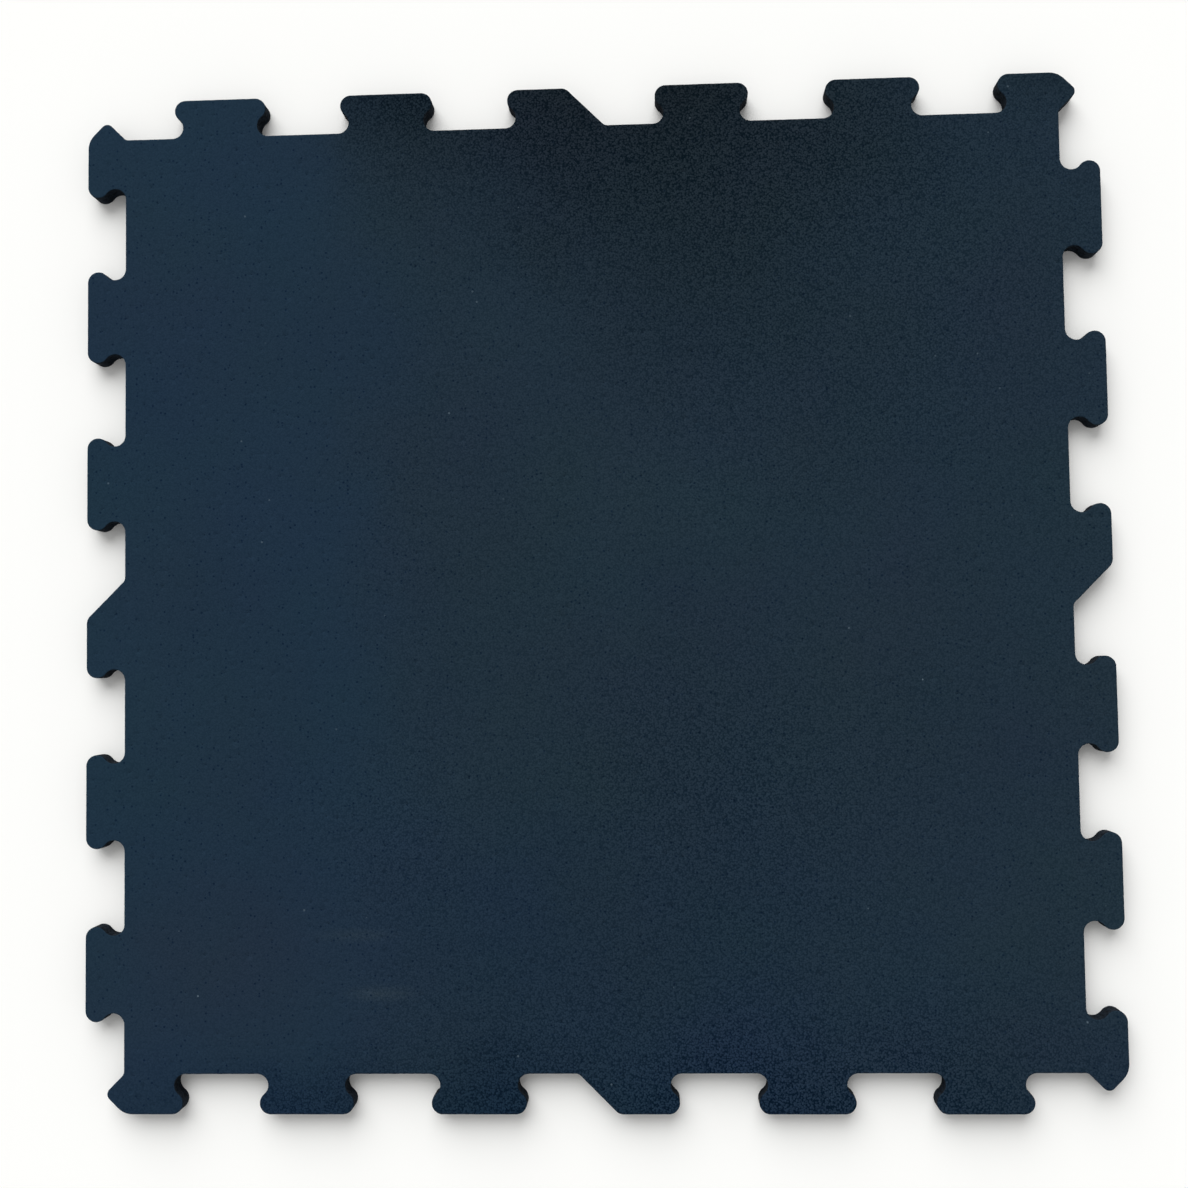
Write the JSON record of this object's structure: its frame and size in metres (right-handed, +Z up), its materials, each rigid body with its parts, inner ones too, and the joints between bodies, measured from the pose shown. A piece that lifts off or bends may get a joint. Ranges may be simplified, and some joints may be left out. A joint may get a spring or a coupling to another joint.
{
  "type": "rubber gym floor tile",
  "caption": "Square rubber floor tile with dovetail tabs and recesses along every side, so that equal tiles interlock into a gym floor.",
  "frame": {"origin": "centre of the underside", "axes": "+Z up out of the walking surface, +Y towards the side at the top of the picture, +X towards the side at its right"},
  "size_m": [0.6076, 0.6076, 0.012],
  "materials": {
    "rubber": "matte"
  },
  "bodies": {
    "root": {"tile": "rubber"}
  },
  "joints": []
}
